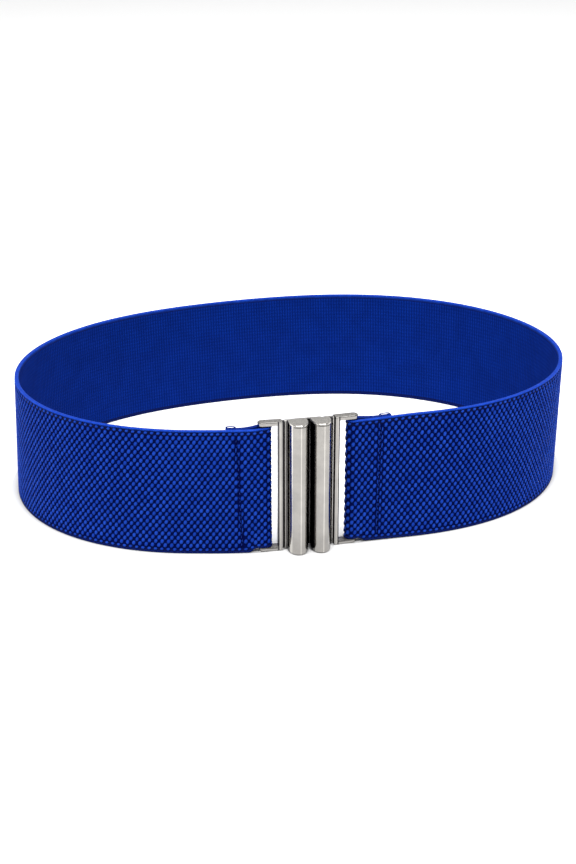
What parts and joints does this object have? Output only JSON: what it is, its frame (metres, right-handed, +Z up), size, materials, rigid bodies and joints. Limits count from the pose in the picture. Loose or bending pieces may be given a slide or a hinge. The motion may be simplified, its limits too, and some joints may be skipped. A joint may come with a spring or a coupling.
{
  "type": "elastic stretch belt",
  "caption": "Wide stretch waist belt of blue knitted elastic, shown fastened by a two-part interlocking metal buckle with upright half-round bars.",
  "frame": {"origin": "middle of the loop's box, on the surface that the belt stands on", "axes": "+X along the loop's long side and along the buckle's face, to the wearer's left; +Y from the buckle to the back of the waist; +Z up, through the loop"},
  "size_m": [0.2772, 0.1988, 0.0633],
  "materials": {
    "elastic": "knitted, matt with a slight sheen",
    "metal": "polished nickel plate"
  },
  "bodies": {
    "root": {"elastic_band": "elastic", "buckle_hook_half": "metal", "buckle_groove_half": "metal"}
  },
  "joints": []
}
